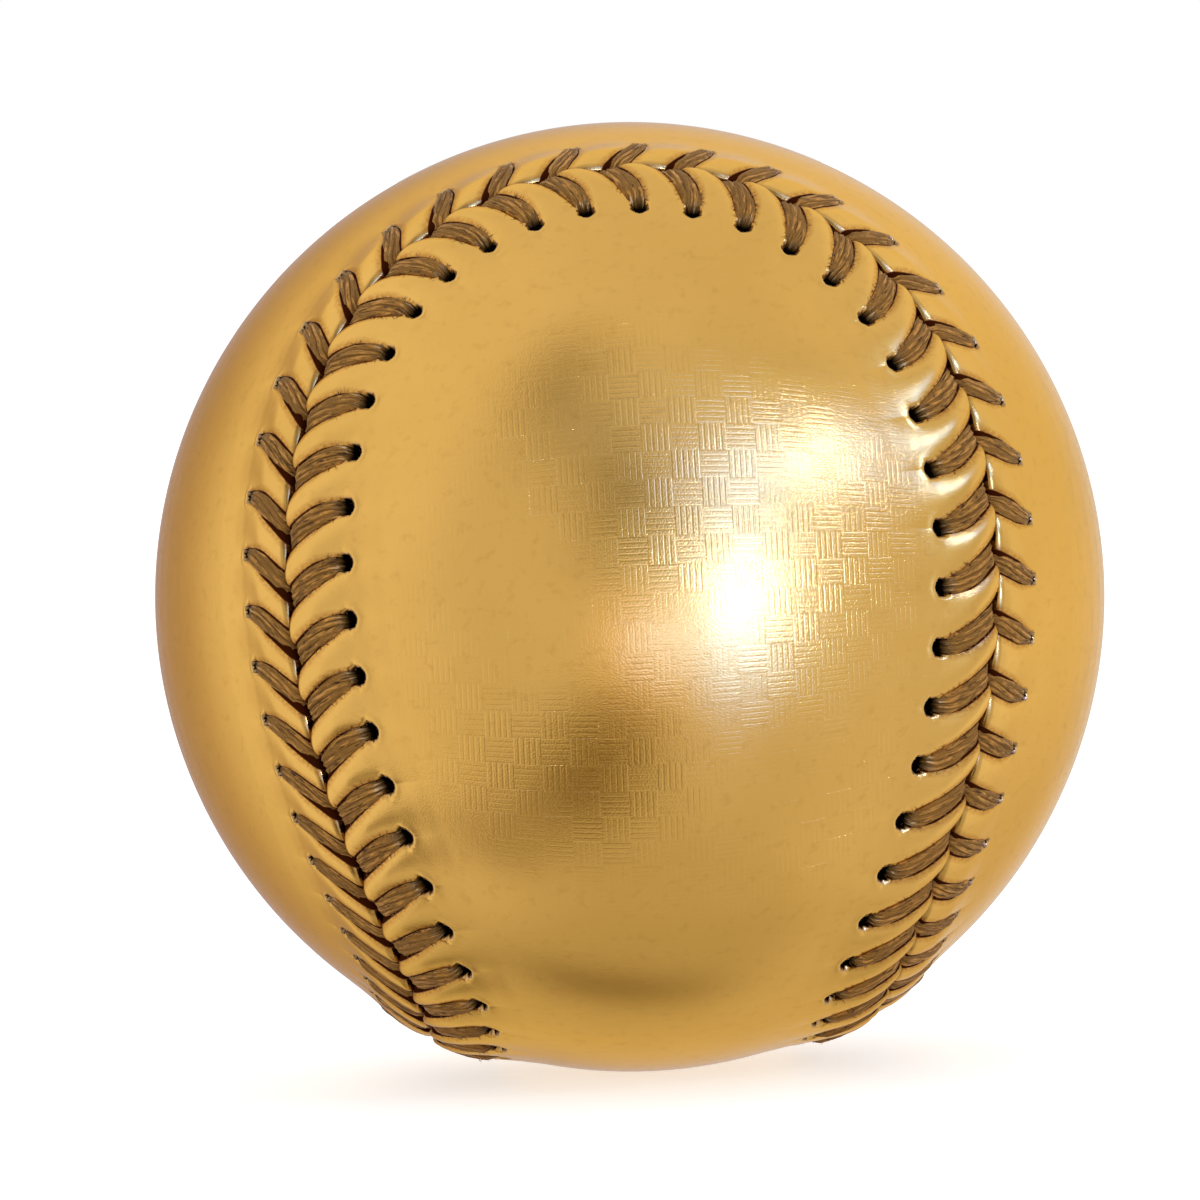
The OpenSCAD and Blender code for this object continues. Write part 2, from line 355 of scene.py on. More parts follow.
# Thread: one cord for each needle, of plied strands. A leg runs from its hole (share 0) over the leather to
# the seam (share 1). Widths and heights are the cord's own, and lifts are its middle's height over the
# leather's valley, all in millimetres.
thread = {
    "strands": 7,
    "twist": 0.28,          # turns of the strands over one leg
    "legLength": 6.2,
    "strandRadius": 0.235,  # where the cord is as wide as laidWidth
    "laidWidth": 1.6,
    "strandLeast": 0.02,    # added to every strand
    "strandPress": 1.12,    # how far the strands press into one another
    "wobble": 0.06,         # share by which a strand swells and thins
    "wobbleRates": (1.7, 0.31),         # of the first strand, and added for each one after it
    "strandShift": 3.7,     # so that no two strands share their streaks
    "legPoints": 15,
    "hiddenPoints": 6,
    "hiddenReach": (0.12, 0.9),         # shares of the way under the leather to the next hole
    "hiddenLevel": 0.32,    # its middle there, over the leather's bore
    "hiddenSize": (1.2, 0.5),
    "pathMarks": (0, 0.1, 0.24, 0.5, 0.8, 0.92, 1),
    "sizeMarks": (0, 0.1, 0.24, 0.5, 0.85, 1),
    "laidShares": (0.52, 0.2),          # the leg's middle, as shares of the holes' inset
    "atSeam": (0.45, 0.12),
    # where along a leg the thread is painted dark as shade, diving into its hole and into the seam
    "diveShadeMarks": (0, 0.15, 0.25, 0.92, 1),
    "seamDiveShade": 0.7,
    front: {"fromHole": (-0.3, -0.5, -0.98),
            "lift": (-1.7, -0.75, 0.2, 0.4, 0.4, 0.05, -1.2),
            "wide": (0.95, 1.15, 1.5, 1.76, 1.76, 1.3),
            "high": (0.7, 0.8, 0.86, 0.88, 0.85, 0.7),
            "diveShadeTone": 1},
    # The back legs come up more steeply and fill their holes
    back: {"fromHole": (0.05, -0.2, -0.85),
           "lift": (-1.2, -0.16, 0.15, 0.24, 0.22, 0.05, -1.2),
           "wide": (0.6, 0.85, 1.25, 1.7, 1.7, 1.3),
           "high": (0.52, 0.56, 0.64, 0.72, 0.72, 0.6),
           "diveShadeTone": 0.6},
}


def legPath(side, n, share):
    # A leg's stations, distances from the seam, radii, widths and heights
    form, inset = thread[side], seam["inset"][side]
    line = [inset + step for step in form["fromHole"]] + [inset * part for part in thread["laidShares"]]
    off = np.interp(share, thread["pathMarks"], line + list(thread["atSeam"]))
    ground = seam["radius"] + curveAt(leather[side]["valley"], off)
    radius = ground + np.interp(share, thread["pathMarks"], form["lift"])
    wide, high = (np.interp(share, thread["sizeMarks"], form[word]) for word in ("wide", "high"))
    return legStation(side, n, off), side * off, radius, wide, high


def needleRoute(firstSide):
    over = np.linspace(0, 1, thread["legPoints"])
    under = np.linspace(*thread["hiddenReach"], thread["hiddenPoints"])
    level = leather["bore"] + thread["hiddenLevel"]
    parts = []
    for n in range(seam["pairs"]):
        side = firstSide if n % 2 == 0 else -firstSide
        # Under the leather from the seam to the next hole, on the other side
        start, end = crossStation(side, n), holeStation(-side, n + 1)
        sizes = [np.full_like(under, size) for size in (level, *thread["hiddenSize"])]
        hidden = (start + (end - start) * under, -side * under * seam["inset"][-side], *sizes)
        # The thread is painted dark as shade where it dives into its hole and the seam, and fully where it
        # runs hidden
        diveShadeTone = thread[side]["diveShadeTone"]
        diveShade = np.interp(over, thread["diveShadeMarks"], (diveShadeTone, diveShadeTone, 0, 0, thread["seamDiveShade"]))
        diveShade = np.concatenate([diveShade, np.ones_like(under)])
        parts.append([np.concatenate(pair) for pair in zip(legPath(side, n, over), hidden)] + [diveShade])
    return [np.concatenate(column) for column in zip(*parts)]


def newCurve(name, resolution):
    curve = bpy.data.curves.new(name, "CURVE")
    curve.dimensions = "3D"
    curve.bevel_depth = 1.0
    curve.bevel_resolution = resolution
    curve.use_fill_caps = True
    return curve


def curveMesh(name, curve):
    rig = bpy.data.objects.new(name + "_curve", curve)
    bpy.context.scene.collection.objects.link(rig)
    bpy.context.view_layer.update()
    mesh = bpy.data.meshes.new_from_object(rig.evaluated_get(bpy.context.evaluated_depsgraph_get()))
    mesh.name = name
    bpy.data.objects.remove(rig)
    return mesh


def makeThread(firstSide, name):
    station, off, radius, wide, high, diveShade = needleRoute(firstSide)
    centre = place(station, off, radius)
    travel = unit(np.gradient(centre, axis=0))
    outward = unit(centre)
    across = unit(np.cross(outward, travel))
    # Where the cord dives, its flat side keeps facing along the seam
    lengthwise = np.cross(along(seamSide, station), along(seamLine, station))
    steep = np.abs((outward * travel).sum(1))[:, None]
    lean = lengthwise - (lengthwise * travel).sum(1)[:, None] * travel
    across = np.where((across * lean).sum(1)[:, None] < 0, -across, across)
    across = unit(across * (1 - steep) + unit(lean) * steep)
    up = np.cross(travel, across)
    reach = distances(centre)
    print(name, "cord length", round(reach[-1], 3), "m")

    curve = newCurve(name, 1)
    paths = []
    for strand in range(thread["strands"]):
        spin = 2 * np.pi * (strand / thread["strands"])
        spin = spin + 2 * np.pi * thread["twist"] * reach / (thread["legLength"] * mm)
        rate = thread["wobbleRates"][0] + thread["wobbleRates"][1] * strand
        wobble = 1 + thread["wobble"] * np.sin(reach / mm * rate + strand)
        thick = (thread["strandRadius"] * wide / thread["laidWidth"] * wobble + thread["strandLeast"]) * mm
        aside = (wide / 2 * mm - thick) * np.cos(spin)
        above = (high / 2 * mm - thick) * np.sin(spin)
        path = centre + across * aside[:, None] + up * above[:, None]
        spline = curve.splines.new("POLY")
        spline.points.add(len(path) - 1)
        spline.points.foreach_set("co", np.column_stack([path, np.ones(len(path))]).ravel())
        spline.points.foreach_set("radius", thick * thread["strandPress"])
        paths.append(path)
    paths = np.concatenate(paths)
    mesh = curveMesh(name, curve)

    # Each vertex takes its place along its strand, in millimetres, and round it, for the streaks
    tree = nearestIn(paths)
    co = np.array([vertex.co for vertex in mesh.vertices])
    ring = np.array([tree.find(spot)[1] for spot in co])
    step = ring % len(centre)
    # How dark each vertex is painted as shade where the cord dives
    mark = mesh.attributes.new("diveShade", "FLOAT", "POINT")
    mark.data.foreach_set("value", diveShade[step].astype(np.float32))
    spots = co - paths[ring]
    aside, above = ((spots * way[step]).sum(1) / mm for way in (across, up))
    above = above + ring // len(centre) * thread["strandShift"]
    fibre = mesh.attributes.new("fibre", "FLOAT_VECTOR", "POINT")
    streakSpots = np.column_stack([reach[step] / mm, aside, above])
    fibre.data.foreach_set("vector", streakSpots.astype(np.float32).ravel())
    mesh.shade_smooth()
    return addPiece(name, mesh), (centre, across, up, travel, wide, high)


# Loose ends of cotton that stand off the legs. Roots are shares of the cord's width and height, and the four
# ranges below them are shares of the way sideways, along the cord, off it and down.
looseFibre = {
    "count": {front: 34, back: 64},         # on each leg
    "length": {front: (0.2, 0.5), back: (0.3, 0.8)},
    "rootAside": 0.42,
    "rootUp": 0.4,
    "rootLift": (0.3, 1.0),
    "aside": (0.4, 1.0),
    "slant": (0.1, 0.9),
    "stand": (0.15, 0.7),
    "droop": (-0.25, 0.1),
    "radii": (0.028, 0.022, 0.008),         # at its root, middle and tip
}


def makeFuzz(routes, name):
    look = looseFibre
    curve = newCurve(name, 0)
    block = thread["legPoints"] + thread["hiddenPoints"]
    shares = np.linspace(0, 1, len(look["radii"]))
    for firstSide, (centre, across, up, travel, wide, high) in routes:
        for n in range(seam["pairs"]):
            side = firstSide if n % 2 == 0 else -firstSide
            for _ in range(look["count"][side]):
                i = n * block + rng.integers(1, thread["legPoints"] - 2)
                hand = rng.choice([-1, 1])
                lift = rng.uniform(*look["rootLift"])
                root = centre[i] + across[i] * hand * wide[i] * look["rootAside"] * mm
                root = root + up[i] * lift * high[i] * look["rootUp"] * mm
                size = rng.uniform(*look["length"][side]) * mm
                slant = rng.choice([-1, 1]) * rng.uniform(*look["slant"])
                way = across[i] * hand * rng.uniform(*look["aside"]) + travel[i] * slant
                way = unit(way + up[i] * rng.uniform(*look["stand"]))
                droop = up[i] * rng.uniform(*look["droop"])
                spline = curve.splines.new("POLY")
                spline.points.add(len(shares) - 1)
                for point, share, radius in zip(spline.points, shares, look["radii"]):
                    point.co = (*(root + (way * share + droop * share * share) * size), 1)
                    point.radius = radius * mm
    fibres = len(curve.splines)
    print("combed out", fibres, "loose fibres")
    return addPiece(name, curveMesh(name, curve))


# Materials
def linear(code):
    parts = [int(code[k:k + 2], 16) / 255 for k in (0, 2, 4)]
    return tuple(c / 12.92 if c <= 0.04045 else ((c + 0.055) / 1.055) ** 2.4 for c in parts) + (1.0,)


def addNode(tree, kind, sockets=None, **settings):
    node = tree.nodes.new(kind)
    for word, value in settings.items():
        setattr(node, word, value)
    for key, value in (sockets or {}).items():
        if isinstance(value, bpy.types.NodeSocket):
            tree.links.new(value, node.inputs[key])
        else:
            node.inputs[key].default_value = value
    return node


def newMaterial(name):
    material = bpy.data.materials.new(name)
    material.use_nodes = True
    tree = material.node_tree
    return material, tree, tree.nodes["Principled BSDF"]


# How far apart the bands of a wave texture lie at scale 1, along an axis and diagonally
straightBand = math.pi / 10
diagonalBand = math.pi / (5 * math.sqrt(3))

goldLook = {
    "foil": "E8B660",       # gold foil laid on the hide
    "deep": "DEAD58",       # where the foil is thin
    "worn": "C08C3C",
    "dyeAndShade": "A05C1E",        # orange-brown dye that the waxed thread leaves on the foil, with painted shade along the legs
    "line": "3A1606",       # painted contact shade right beside the thread, and painted shade in the crease at the panel's edge
    "cut": "B8AEA6",        # pale cut edge at a hole
    # painted shade: the black inside a hole
    "pit": "050302",
    "tint": "F4E0BC",       # of the foil's shine at a low angle
    "shine": 0.4,
    # Size in mm, detail and roughness of each pattern in the solid and on the hide
    "slow": {"cloud": (20.8333, 3.0, 0.5), "press": (14.2857, 2.0, 0.5)},
    "fine": {"mottle": (1.11111, 4.0, 0.6), "bleed": (0.3125, 3.0, 0.5),
             "grain": (0.153846, 3.0, 0.6), "pores": (0.384615, 5.0, 0.65)},
    # What each share follows, where it starts and ends, and what it is at either end. Reach and holeOut are
    # in half holes. legGap is in mm from a leg's middle, for a leg of full width, and edgeGap is in mm from
    # the panel's edge.
    "shares": {
        # painted shade inside the hole
        "pit": ("reach", 1.12, 1.0, 0, 1),
        "rimInside": ("reach", 1.08, 1.14, 0, 1),
        "rimOutside": ("reach", 1.28, 1.18, 0, 1),
        "rimSide": ("holeOut", -0.5, 0.4, 0, 0.45),     # the rim shows on the hole's outer side
        "onLeg": ("holeOut", 1.1, 0.3, 0, 1),
        # the dye and painted shade spread along the legs
        "nearLeg": ("legGap", 1.45, 0.8, 0, 1),
        # painted contact shade right beside the thread
        "besideLeg": ("legGap", 0.94, 0.86, 0, 1),
        # painted shade in the crease at the panel's edge
        "edgeShade": ("edgeGap", 0.55, 0.0, 0, 0.5),
        "stretched": ("edgeGap", 5.5, 8.9, 0, 1),       # the tongues are stretched smooth
        "cloud": ("cloud", 0.38, 0.66, 0, 1),
        "mottle": ("mottle", 0.55, 0.8, 0, 0.35),
        "bleed": ("bleed", 0.3, 0.65, 0.25, 1),
        "press": ("press", 0.38, 0.62, 0.12, 1),        # the press was uneven
        "broken": ("grain", 0.38, 0.56, 0.68, 1),       # the grain breaks the ribs a little
        "rough": ("mottle", 0.3, 0.7, 0.13, 0.17)},
    "block": 2.15,          # one block of the basket weave, mm
    "rib": 0.43,            # one pressed line, mm
    "ribWaver": 0.08,
    "groove": 0.45,         # share of a rib's height up to which its side rises
    "lobe": 58.3,           # from a panel's waist to the middle of its lobe, mm
    "pressShift": 5.0,      # from there to the middle of the pressed patch, mm
    "pressed": (29.0, 18.0, 0.06, 1),       # where the patch ends and is full, mm, and its shares there
    "ribDepth": 0.0105,
    "poreDepth": 0.006,
    "grainDepth": 0.013,
}


def goldLeather():
    # Cowhide under gold foil, pressed with a basket weave: a warm metal sheen broken by fine ribs
    look = goldLook
    material, tree, shader = newMaterial("goldFoilLeather")
    hide = addNode(tree, "ShaderNodeUVMap", uv_map="hide").outputs["UV"]
    solid = addNode(tree, "ShaderNodeTexCoord").outputs["Object"]
    source = {}
    for word in leather["marks"]:
        source[word] = addNode(tree, "ShaderNodeAttribute", attribute_name=word).outputs["Fac"]
    around = addNode(tree, "ShaderNodeCombineXYZ", {"X": source["holeAlong"], "Y": source["holeOut"]})
    reach = addNode(tree, "ShaderNodeVectorMath", {0: around.outputs["Vector"]}, operation="LENGTH")
    source["reach"] = reach.outputs["Value"]
    for where, length, patterns in ((solid, mm, look["slow"]), (hide, 1, look["fine"])):
        for word, (size, detail, roughness) in patterns.items():
            noise = addNode(tree, "ShaderNodeTexNoise", {
                "Vector": where, "Scale": 1 / (size * length), "Detail": detail, "Roughness": roughness})
            source[word] = noise.outputs["Fac"]
    share = {}
    for word, (follows, start, end, least, most) in look["shares"].items():
        share[word] = addNode(tree, "ShaderNodeMapRange", {
            "Value": source[follows], "From Min": start, "From Max": end,
            "To Min": least, "To Max": most}).outputs["Result"]

    # The thin cut rim, the painted contact shade beside the thread and the dye with painted shade round it
    # are where all their shares meet
    meetings = {"rim": ("rimSide", "rimInside", "rimOutside"), "line": ("besideLeg", "onLeg"),
                "dyeAndShade": ("nearLeg", "onLeg", "bleed")}
    for word, (first, *others) in meetings.items():
        share[word] = share[first]
        for other in others:
            both = addNode(tree, "ShaderNodeMath", {0: share[word], 1: share[other]}, operation="MULTIPLY")
            share[word] = both.outputs[0]

    # Each layer covers the ones before it, and the black painted shade inside the hole comes last
    colour = linear(look["foil"])
    covers = (("cloud", "deep"), ("mottle", "worn"), ("dyeAndShade", "dyeAndShade"), ("line", "line"), ("edgeShade", "line"),
              ("rim", "cut"), ("pit", "pit"))
    for word, tint in covers:
        colour = addNode(tree, "ShaderNodeMix", {
            "Factor": share[word], "A": colour, "B": linear(look[tint])}, data_type="RGBA").outputs[2]
    tree.links.new(colour, shader.inputs["Base Color"])

    # Basket weave: ribs one way in every other block, the other way between them
    checks = addNode(tree, "ShaderNodeTexChecker", {"Vector": hide, "Scale": 1 / look["block"]})
    ribs = {"Vector": hide, "Scale": straightBand / look["rib"], "Distortion": look["ribWaver"],
            "Detail": 1.0, "Detail Scale": 1.5}
    across = addNode(tree, "ShaderNodeTexWave", ribs, bands_direction="X").outputs["Fac"]
    lengthwise = addNode(tree, "ShaderNodeTexWave", ribs, bands_direction="Y").outputs["Fac"]
    weave = addNode(tree, "ShaderNodeMix", {
        "Factor": checks.outputs["Fac"], "A": across, "B": lengthwise}, data_type="FLOAT")
    # Narrow grooves between flat ribs
    weave = addNode(tree, "ShaderNodeMapRange", {
        "Value": weave.outputs[0], "From Min": 0.0, "From Max": look["groove"]},
        interpolation_type="SMOOTHSTEP").outputs["Result"]
    # It was pressed on the middle of each lobe and fades away round it, and beside the seam
    spot = addNode(tree, "ShaderNodeSeparateXYZ", {"Vector": hide})
    length = addNode(tree, "ShaderNodeMath", {0: spot.outputs["Y"]}, operation="ABSOLUTE")
    folded = addNode(tree, "ShaderNodeCombineXYZ", {"X": spot.outputs["X"], "Y": length.outputs[0]})
    away = addNode(tree, "ShaderNodeVectorMath", {
        0: folded.outputs["Vector"], 1: (look["pressShift"], look["lobe"], 0)}, operation="DISTANCE")
    start, end, least, most = look["pressed"]
    pressed = addNode(tree, "ShaderNodeMapRange", {
        "Value": away.outputs["Value"], "From Min": start, "From Max": end, "To Min": least, "To Max": most},
        interpolation_type="SMOOTHSTEP")
    for part in (share["press"], share["broken"], share["stretched"], pressed.outputs["Result"]):
        weave = addNode(tree, "ShaderNodeMath", {0: weave, 1: part}, operation="MULTIPLY").outputs[0]
    heights = {"ribDepth": weave, "poreDepth": source["pores"], "grainDepth": source["grain"]}
    relief = {}
    for depth, height in heights.items():
        bump = addNode(tree, "ShaderNodeBump", {
            "Height": height, "Distance": look[depth] * mm, "Strength": 1.0, **relief})
        relief = {"Normal": bump.outputs["Normal"]}
    tree.links.new(relief["Normal"], shader.inputs["Normal"])

    # The foil ends at the cut rims and under the painted contact shade, and nothing shines inside a hole,
    # where black shade is painted
    bare = 1.0
    for word in ("pit", "line", "rim"):
        bare = addNode(tree, "ShaderNodeMath", {
            0: bare, 1: share[word]}, operation="SUBTRACT", use_clamp=True).outputs[0]
    tree.links.new(bare, shader.inputs["Metallic"])
    shine = addNode(tree, "ShaderNodeMath", {0: bare, 1: look["shine"]}, operation="MULTIPLY")
    tree.links.new(shine.outputs[0], shader.inputs["Specular IOR Level"])
    tree.links.new(share["rough"], shader.inputs["Roughness"])
    shader.inputs["Specular Tint"].default_value = linear(look["tint"])
    return material


threadLook = {
    "streaks": ((0.36, "3A200C"), (0.47, "966A2A"), (0.66, "DB9A46")),      # fibre tones, with painted shade between the fibres, where the bump sinks
    "diveShadeTone": "0E0602",       # painted shade where the thread dives into its holes and into the seam
    "glint": "F4DCB4",      # painted glints where the thread comes out of its hole
    "streakLength": 0.909091,   # mm, along a strand
    "streakWidth": 0.16835,     # mm, round it
    "depth": 0.09,
    # What each share follows, where it starts and ends, and what it is at either end
    "shares": {
        "close": ("diveShade", 0.02, 0.3, 0, 1),
        # the streak spots that get painted glints
        "grain": ("streak", 0.55, 0.6, 0, 1),
        "rough": ("streak", 0.5, 0.64, 0.65, 0.3),
        # less shine where the thread is painted dark as shade
        "shine": ("diveShade", 0.0, 0.8, 0.25, 0.02)},
}


def waxedCotton():
    # Plied cotton drawn through wax: matt fibres that run along each strand, with small painted glints
    look = threadLook
    material, tree, shader = newMaterial("waxedCottonThread")
    fibre = addNode(tree, "ShaderNodeAttribute", attribute_name="fibre").outputs["Vector"]
    diveShade = addNode(tree, "ShaderNodeAttribute", attribute_name="diveShade").outputs["Fac"]
    rates = [1 / look[word] for word in ("streakLength", "streakWidth", "streakWidth")]
    stretch = addNode(tree, "ShaderNodeMapping", {"Vector": fibre, "Scale": rates})
    streak = addNode(tree, "ShaderNodeTexNoise", {
        "Vector": stretch.outputs["Vector"], "Scale": 1.0, "Detail": 4.0, "Roughness": 0.7}).outputs["Fac"]
    share = {}
    source = {"diveShade": diveShade, "streak": streak}
    for word, (follows, start, end, least, most) in look["shares"].items():
        share[word] = addNode(tree, "ShaderNodeMapRange", {
            "Value": source[follows], "From Min": start, "From Max": end,
            "To Min": least, "To Max": most}).outputs["Result"]
    ramp = addNode(tree, "ShaderNodeValToRGB", {"Fac": streak})
    stops = ramp.color_ramp.elements
    stops.new(look["streaks"][1][0])
    for stop, (position, tint) in zip(stops, look["streaks"]):
        stop.position = position
        stop.color = linear(tint)
    # Painted glints near the holes and the seam, on spots of the streaks
    paintedGlints = addNode(tree, "ShaderNodeMath", {0: share["close"], 1: share["grain"]}, operation="MULTIPLY")
    colour = ramp.outputs["Color"]
    # Painted glints first, then the painted shade where the thread dives
    for cover, tint in ((paintedGlints.outputs[0], "glint"), (diveShade, "diveShadeTone")):
        colour = addNode(tree, "ShaderNodeMix", {
            "Factor": cover, "A": colour, "B": linear(look[tint])}, data_type="RGBA").outputs[2]
    tree.links.new(colour, shader.inputs["Base Color"])
    bump = addNode(tree, "ShaderNodeBump", {
        "Height": streak, "Distance": look["depth"] * mm, "Strength": 1.0})
    tree.links.new(bump.outputs["Normal"], shader.inputs["Normal"])
    tree.links.new(share["rough"], shader.inputs["Roughness"])
    tree.links.new(share["shine"], shader.inputs["Specular IOR Level"])
    return material


fibreLook = {"tints": ((0.4, "4A250C"), (0.62, "A0662C")), "size": 1.11111, "roughness": 0.6}


def looseCotton():
    # Single fibres with the warm dye showing through them
    look = fibreLook
    material, tree, shader = newMaterial("looseCottonFibres")
    solid = addNode(tree, "ShaderNodeTexCoord").outputs["Object"]
    tint = addNode(tree, "ShaderNodeTexNoise", {"Vector": solid, "Scale": 1 / (look["size"] * mm)})
    ramp = addNode(tree, "ShaderNodeValToRGB", {"Fac": tint.outputs["Fac"]})
    for stop, (position, code) in zip(ramp.color_ramp.elements, look["tints"]):
        stop.position = position
        stop.color = linear(code)
    tree.links.new(ramp.outputs["Color"], shader.inputs["Base Color"])
    shader.inputs["Roughness"].default_value = look["roughness"]
    return material


# Hidden layers: colours, size of one granule, ripple or turn of yarn and its depth, in mm, and roughness
layerLooks = {
    "groundCork": {
        "colours": ("7A5230", "B98B5C"), "pattern": "granules", "size": 2.0, "depth": 0.15,
        "roughness": 0.85, "nodes": ("cork_core",)},
    "blackRubber": {
        "colours": ("151515", "232323"), "pattern": "ripples", "size": 1.11111, "depth": 0.03,
        "roughness": 0.65, "nodes": ("inner_rubber_shell_upper", "inner_rubber_shell_lower")},
    "redRubber": {
        "colours": ("7C2A20", "98382C"), "pattern": "ripples", "size": 1.11111, "depth": 0.03,
        "roughness": 0.6, "nodes": ("rubber_washer", "outer_rubber_shell_upper", "outer_rubber_shell_lower")},
    "greyWoolYarn": {
        "colours": ("6E6B66", "9A968E"), "pattern": "yarn", "size": 2.26725, "depth": 0.3,
        "roughness": 0.95, "nodes": ("first_winding", "third_winding")},
    "whiteWoolYarn": {
        "colours": ("B9B3A6", "DDD8CC"), "pattern": "yarn", "size": 2.26725, "depth": 0.3,
        "roughness": 0.95, "nodes": ("second_winding",)},
    "cementedCottonYarn": {
        "colours": ("4A3620", "7C6242"), "pattern": "yarn", "size": 1.2092, "depth": 0.12,
        "roughness": 0.8, "nodes": ("finish_winding",)},
}


def layerMaterial(name, look):
    # Ground and moulded granules, moulded rubber with faint ripples, or turns of yarn: all matt
    material, tree, shader = newMaterial(name)
    solid = addNode(tree, "ShaderNodeTexCoord").outputs["Object"]
    scale = 1 / (look["size"] * mm)
    if look["pattern"] == "granules":
        value = addNode(tree, "ShaderNodeTexVoronoi", {"Vector": solid, "Scale": scale}).outputs["Distance"]
    elif look["pattern"] == "yarn":
        value = addNode(tree, "ShaderNodeTexWave", {
            "Vector": solid, "Scale": diagonalBand * scale, "Distortion": 9.0, "Detail": 3.0,
            "Detail Scale": 1.2}, bands_direction="DIAGONAL").outputs["Fac"]
    else:
        value = addNode(tree, "ShaderNodeTexNoise", {
            "Vector": solid, "Scale": scale, "Detail": 4.0}).outputs["Fac"]
    first, second = (linear(code) for code in look["colours"])
    colour = addNode(tree, "ShaderNodeMix", {"Factor": value, "A": first, "B": second}, data_type="RGBA")
    tree.links.new(colour.outputs[2], shader.inputs["Base Color"])
    bump = addNode(tree, "ShaderNodeBump", {"Height": value, "Distance": look["depth"] * mm})
    tree.links.new(bump.outputs["Normal"], shader.inputs["Normal"])
    shader.inputs["Roughness"].default_value = look["roughness"]
    return material


for name, look in layerLooks.items():
    material = layerMaterial(name, look)
    for node in look["nodes"]:
        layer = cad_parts[node]
        layer.data.materials.clear()
        layer.data.materials.append(material)
print("dressed the hidden layers")

gold = goldLeather()
cotton = waxedCotton()
panels = ((front, "front_leather", "front_cover_panel"), (back, "back_leather", "back_cover_panel"))
for side, name, node in panels:
    panel = makePanel(side, name)
    panel.data.materials.append(gold)
    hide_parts(node)
cords = ((front, "first_needle_cord", "first_needle_thread"),
         (back, "second_needle_cord", "second_needle_thread"))
routes = []
for side, name, node in cords:
    cord, route = makeThread(side, name)
    cord.data.materials.append(cotton)
    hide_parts(node)
    routes.append((side, route))
fuzz = makeFuzz(routes, "loose_thread_fibres")
fuzz.data.materials.append(looseCotton())

# Camera: found by fitting the seam's holes to the photograph
view = {
    "distance": 19.0,       # from the ball's centre, in radii
    "turn": (0.0473, -0.0493, 0.0415),      # how the ball is turned to the camera: an axis times an angle
    "frame": 1200,          # the photograph's side, in pixels, as centre and silhouette are
    "centre": (629.8, 596.8),
    "silhouette": 474.86,   # the outline's radius
    "sensor": 36.0,
    "clip": 0.01,
}
turnVector = Vector(view["turn"])
right, ahead, up = np.array(Quaternion(turnVector.normalized(), turnVector.length).to_matrix())
cameraData = bpy.data.cameras.new("camera")
camera = bpy.data.objects.new("camera", cameraData)
bpy.context.scene.collection.objects.link(camera)
camera.location = -ahead * view["distance"] * seam["radius"] * mm
camera.rotation_euler = Matrix([right, up, -ahead]).transposed().to_euler()
focal = view["silhouette"] * math.sqrt(view["distance"] ** 2 - 1) / view["frame"]
cameraData.sensor_width = view["sensor"]
cameraData.lens = focal * view["sensor"]
cameraData.shift_x = -(view["centre"][0] - view["frame"] / 2) / view["frame"]
cameraData.shift_y = (view["centre"][1] - view["frame"] / 2) / view["frame"]
cameraData.clip_start = view["clip"]
bpy.context.scene.camera = camera
print("placed the camera", round(view["distance"] * seam["radius"] * mm, 3), "m away")

# Two small lamps at the middles of the soft boxes, for the glints. Directions here and below are right, up
# and towards the camera. Distances and sizes are in metres.
lamps = {
    "frontBox": {"direction": (0.46, 0.027, 0.888), "size": (0.04, 0.09), "power": 0.9},
    "sideBox": {"direction": (0.664, 0.491, 0.564), "size": (0.12, 0.02), "power": 0.4},
}
lampDistance = 0.9


def wayTo(direction):
    return Vector(right * direction[0] + up * direction[1] - ahead * direction[2]).normalized()


for name, look in lamps.items():
    data = bpy.data.lights.new(name, "AREA")
    data.shape = "RECTANGLE"
    data.size, data.size_y = look["size"]
    data.energy = look["power"]
    lamp = bpy.data.objects.new(name, data)
    bpy.context.scene.collection.objects.link(lamp)
    lamp.location = wayTo(look["direction"]) * lampDistance
    lamp.rotation_euler = (-lamp.location).to_track_quat("-Z", "Y").to_euler()

